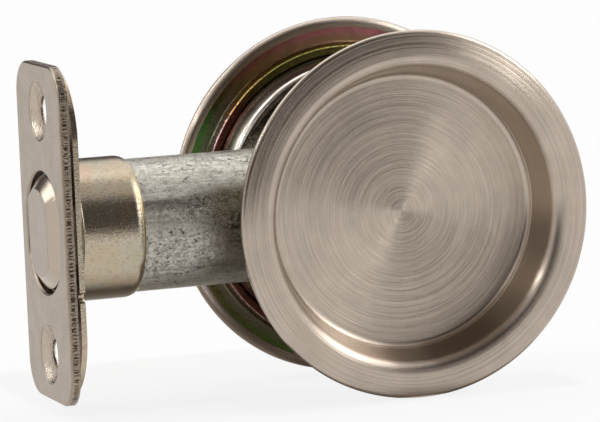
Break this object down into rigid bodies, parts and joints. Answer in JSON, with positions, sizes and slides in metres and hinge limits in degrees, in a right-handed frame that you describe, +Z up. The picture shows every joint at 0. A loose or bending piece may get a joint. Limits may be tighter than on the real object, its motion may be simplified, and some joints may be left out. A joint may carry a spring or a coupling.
{
  "type": "pocket door pull",
  "caption": "Round recessed pocket door pull: satin nickel finger cups joined through the door, with a tube to an edge plate that holds a press-to-release finger pull.",
  "frame": {"origin": "where the tube's axis crosses the cups' common axis, midway between the cups", "axes": "+Z up; the cups lie on Y with the front cup facing -Y; the tube lies on X with the edge plate facing -X"},
  "size_m": [0.0926, 0.0378, 0.0626],
  "materials": {
    "cup_nickel": "satin nickel plate on pressed steel, brushed round the axis",
    "plate_nickel": "satin nickel plate, fine grained",
    "yellow_zinc": "yellow chromate zinc plate with rainbow tints",
    "galvanized_steel": "mottled grey galvanized steel",
    "spring_steel": "drawn spring wire",
    "acetal": "moulded acetal"
  },
  "bodies": {
    "set": {"edge_faceplate": "plate_nickel", "latch_flange": "yellow_zinc", "latch_tube": "galvanized_steel", "pull_spring": "spring_steel", "guide_bush": "acetal", "tube_end_plug": "acetal", "catch_wire": "spring_steel", "front_trim_cup": "cup_nickel", "rear_trim_cup": "cup_nickel", "front_backing_ring": "yellow_zinc", "rear_backing_ring": "yellow_zinc", "upper_post": "galvanized_steel", "lower_post": "galvanized_steel", "upper_screw": "plate_nickel", "lower_screw": "plate_nickel"},
    "pull": {"finger_pull": "plate_nickel"}
  },
  "joints": [
    {"name": "pull_slide", "type": "slide", "parent": "set", "child": "pull", "axis": [-1, 0, 0], "range_m": [-0.0015, 0.013], "deforming": ["pull_spring", "catch_wire"]}
  ]
}
